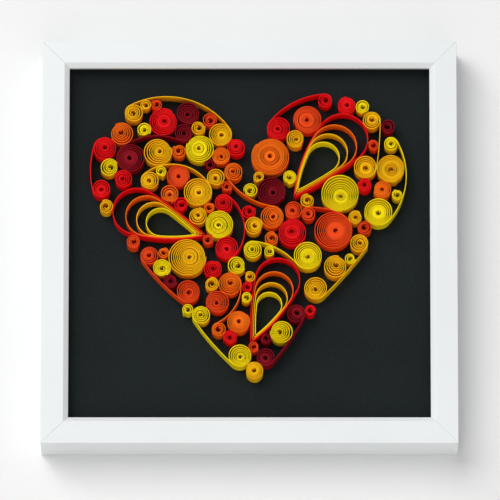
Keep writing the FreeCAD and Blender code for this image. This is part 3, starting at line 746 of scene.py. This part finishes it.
def turned_screw(head_radius, shank_length):
    """A screw without its recess, its axis along y and its head's underside at the origin."""
    rim = RIM_SHARE * SCREW_HEAD_HEIGHT
    dome = SCREW_HEAD_HEIGHT - rim
    shank = SCREW_SHANK / 2
    profile = [(0.0, -shank_length), (shank, -shank_length), (shank, 0.0), (head_radius, 0.0)]
    for step in range(DOME_STEPS + 1):
        turn = math.radians(90) * step / DOME_STEPS
        profile.append((head_radius * math.cos(turn), rim + dome * math.sin(turn)))
    shape = bmesh.new()
    verts = [shape.verts.new((reach, along, 0.0)) for reach, along in profile]
    edges = [shape.edges.new(pair) for pair in zip(verts, verts[1:])]
    bmesh.ops.spin(
        shape, geom=verts + edges, cent=(0, 0, 0), axis=(0, 1, 0),
        angle=2 * math.pi, steps=SCREW_SIDES,
    )
    bmesh.ops.remove_doubles(shape, verts=shape.verts, dist=WELD)
    bmesh.ops.recalc_face_normals(shape, faces=shape.faces)
    mesh = bpy.data.meshes.new("turned_screw")
    shape.to_mesh(mesh)
    shape.free()
    screw = bpy.data.objects.new("turned_screw", mesh)
    bpy.context.scene.collection.objects.link(screw)
    return screw


def recess_cutter(turn):
    """One bar of the cross that is sunk into a screw's head."""
    shape = bmesh.new()
    bmesh.ops.create_cube(shape, size=1.0)
    bmesh.ops.scale(shape, vec=(RECESS_REACH, 2 * RECESS_DEPTH, RECESS_WIDTH), verts=shape.verts)
    bmesh.ops.rotate(shape, cent=(0, 0, 0), matrix=Matrix.Rotation(turn, 3, "Y"), verts=shape.verts)
    bmesh.ops.translate(shape, vec=(0, SCREW_HEAD_HEIGHT, 0), verts=shape.verts)
    mesh = bpy.data.meshes.new("recess_cutter")
    shape.to_mesh(mesh)
    shape.free()
    cutter = bpy.data.objects.new("recess_cutter", mesh)
    bpy.context.scene.collection.objects.link(cutter)
    return cutter


def build_placer():
    """Copies an object to every point, turned about y by a random angle."""
    tree, start, end = new_geometry_tree(
        "place_copies",
        [("Copied Object", "Object", None), ("Seed", "Int", 3), ("Material", "Material", None)],
    )
    copied = add(tree, "GeometryNodeObjectInfo", None, Object=start.outputs["Copied Object"])
    turn = add(tree, "FunctionNodeRandomValue", {"data_type": "FLOAT"})
    feed(tree, turn.inputs[3], 2 * math.pi)
    feed(tree, turn.inputs["Seed"], start.outputs["Seed"])
    spin = add(tree, "ShaderNodeCombineXYZ", None, Y=turn.outputs[1])
    copies = add(
        tree, "GeometryNodeInstanceOnPoints", None, Points=start.outputs["Geometry"],
        Instance=copied.outputs["Geometry"], Rotation=spin.outputs["Vector"],
    )
    finish_tree(tree, start, end, copies.outputs["Instances"])
    return tree


def build_screws(node):
    """Replaces the plain screws by pan-head ones."""
    low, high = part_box(node)
    radius = (high.z - low.z) / 2
    seat = high.y - SCREW_HEAD_HEIGHT
    screw = turned_screw(radius, seat - low.y)
    cutters = [recess_cutter(turn) for turn in (0.0, math.radians(90))]
    for number, cutter in enumerate(cutters):
        recess = screw.modifiers.new(f"recess {number}", "BOOLEAN")
        recess.object = cutter
        recess.solver = "EXACT"
    finished = as_plain_mesh(screw, "pan_head_screw")
    for cutter in cutters:
        bpy.data.objects.remove(cutter)
    crisp(finished.data, SCREW_CREASE)
    seats = bpy.data.meshes.new("screw_seats")
    level = (low.z + high.z) / 2
    seats.from_pydata([(x, seat, level) for x in (low.x + radius, high.x - radius)], [], [])
    points = bpy.data.objects.new("screw_seats", seats)
    bpy.context.scene.collection.objects.link(points)
    piece = made_real(
        points, build_placer(), "pan_head_screws", Copied_Object=finished, Material=BRASS
    )
    bpy.data.objects.remove(finished)
    dress(piece, node)


build_screws("hanger_screws")


# Finishes of the parts that keep their CAD shapes

def plain_finish(node, material):
    """Gives a CAD node its material."""
    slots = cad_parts[node].data.materials
    slots.clear()
    slots.append(material)


for node, material in (
    ("mount_card", CHARCOAL_CARD), ("backing_board", FIBREBOARD),
    ("retaining_points", ZINC), ("corner_nails", ZINC),
):
    plain_finish(node, material)


# Wall, floor, lamps and camera

WALL_REACH = 3.0
WALL_Y = FRAME_HIGH.y + 0.3 * MM
OPENING_INSET = 1.0 * MM
FLOOR_DROP = 2.4


def plain_surface(name, colour, one_sided=False):
    """A matt pale surface; a one-sided one can be seen through from behind."""
    material, tree, shader = new_material(name, roughness=0.95, Specular_IOR_Level=0.1)
    mottled = group_node(tree, MOTTLE, Colour=tint(colour), Scale=3.0, Depth=0.01)["Colour"]
    feed(tree, shader.inputs["Base Color"], mottled)
    if one_sided:
        back = tree.nodes.new("ShaderNodeNewGeometry").outputs["Backfacing"]
        clear = tree.nodes.new("ShaderNodeBsdfTransparent").outputs["BSDF"]
        mixed = add(tree, "ShaderNodeMixShader", None, _0=back, _1=shader.outputs["BSDF"], _2=clear)
        feed(tree, tree.nodes["Material Output"].inputs["Surface"], mixed.outputs["Shader"])
    return material


def stage_mesh(name, corners, faces, material):
    """A flat piece of the set."""
    mesh = bpy.data.meshes.new(name)
    mesh.from_pydata(corners, [], faces)
    mesh.materials.append(material)
    surface = bpy.data.objects.new(name, mesh)
    bpy.context.scene.collection.objects.link(surface)


def build_wall():
    """The wall, left open where the frame hides it, so that the frame's back can be lit."""
    half = FRAME_WIDTH / 2 - OPENING_INSET
    ring = []
    for reach in (WALL_REACH, half):
        for across, up in ((-1, -1), (1, -1), (1, 1), (-1, 1)):
            height = FRAME_CENTRE.z + up * reach
            if reach == WALL_REACH and up < 0:
                height = -FLOOR_DROP
            ring.append((across * reach, WALL_Y, height))
    faces = [(k, (k + 1) % 4, 4 + (k + 1) % 4, 4 + k) for k in range(4)]
    stage_mesh("wall", ring, faces, plain_surface("wall_paint", "f2f2f2", one_sided=True))


def build_floor():
    """The floor far below."""
    near, far = -2 * WALL_REACH, WALL_Y + 2 * WALL_REACH
    outline = ((-WALL_REACH, near), (WALL_REACH, near), (WALL_REACH, far), (-WALL_REACH, far))
    corners = [(x, y, -FLOOR_DROP) for x, y in outline]
    stage_mesh("floor", corners, [(0, 1, 2, 3)], plain_surface("floor_paint", "ececea"))


def toward(azimuth, elevation):
    """The direction from the picture towards a place round it; azimuth 0 is straight in front."""
    a, e = math.radians(azimuth), math.radians(elevation)
    return Vector((math.sin(a) * math.cos(e), -math.cos(a) * math.cos(e), math.sin(e)))


def softbox(name, azimuth, elevation, distance, width, watts):
    """A square lamp that faces the picture."""
    lamp = bpy.data.lights.new(name, "AREA")
    lamp.shape = "SQUARE"
    lamp.size = width
    lamp.energy = watts
    holder = bpy.data.objects.new(name, lamp)
    bpy.context.scene.collection.objects.link(holder)
    way = toward(azimuth, elevation)
    holder.location = FACE_CENTRE + way * distance
    holder.rotation_euler = (-way).to_track_quat("-Z", "Y").to_euler()


def build_world(ambient):
    """Pale surroundings: white where they are seen, dimmer as light."""
    world = bpy.data.worlds.new("studio")
    bpy.context.scene.world = world
    world.use_nodes = True
    tree = world.node_tree
    background = tree.nodes["Background"]
    background.inputs["Color"].default_value = (1.0, 1.0, 1.0, 1.0)
    rays = tree.nodes.new("ShaderNodeLightPath")
    seen = arithmetic(tree, "MAXIMUM", rays.outputs["Is Camera Ray"], rays.outputs["Is Glossy Ray"])
    seen = arithmetic(tree, "MAXIMUM", seen, rays.outputs["Is Transmission Ray"])
    feed(tree, background.inputs["Strength"], remap(tree, seen, 0.0, 1.0, ambient, 1.0))


VIEW_ELEVATION = -15.0
VIEW_DISTANCE = 6.0
CLIP_START, CLIP_END = 0.1, 50.0

# Width of the photograph, width of the frame's face in it, and the middle of that face
PICTURE_PIXELS = 500
FACE_PIXELS = 416
FACE_MIDDLE = (249.5, 241.0)


def build_camera():
    """A long lens from a little below, framed as the photograph is."""
    camera = bpy.data.cameras.new("camera")
    holder = bpy.data.objects.new("camera", camera)
    bpy.context.scene.collection.objects.link(holder)
    way = toward(0.0, VIEW_ELEVATION)
    span = FRAME_WIDTH * PICTURE_PIXELS / FACE_PIXELS
    pixel = span / PICTURE_PIXELS
    up = Vector((0.0, way.z, -way.y)).normalized()
    half = PICTURE_PIXELS / 2
    aside = Vector((half - FACE_MIDDLE[0], 0, 0)) * pixel
    aim = FACE_CENTRE + aside + up * (FACE_MIDDLE[1] - half) * pixel
    holder.location = aim + way * VIEW_DISTANCE
    holder.rotation_euler = (-way).to_track_quat("-Z", "Y").to_euler()
    camera.lens = camera.sensor_width * VIEW_DISTANCE / span
    camera.clip_start, camera.clip_end = CLIP_START, CLIP_END
    bpy.context.scene.camera = holder


build_wall()
build_floor()
build_world(ambient=0.34)
softbox("key", azimuth=-22.0, elevation=21.0, distance=3.6, width=2.3, watts=72.0)
softbox("side", azimuth=-66.0, elevation=42.0, distance=5.0, width=3.0, watts=56.0)
softbox("below", azimuth=2.0, elevation=-42.0, distance=2.6, width=2.6, watts=16.0)
softbox("rear_key", azimuth=155.0, elevation=30.0, distance=1.6, width=0.8, watts=12.0)
build_camera()
bpy.context.scene.view_settings.view_transform = "Standard"
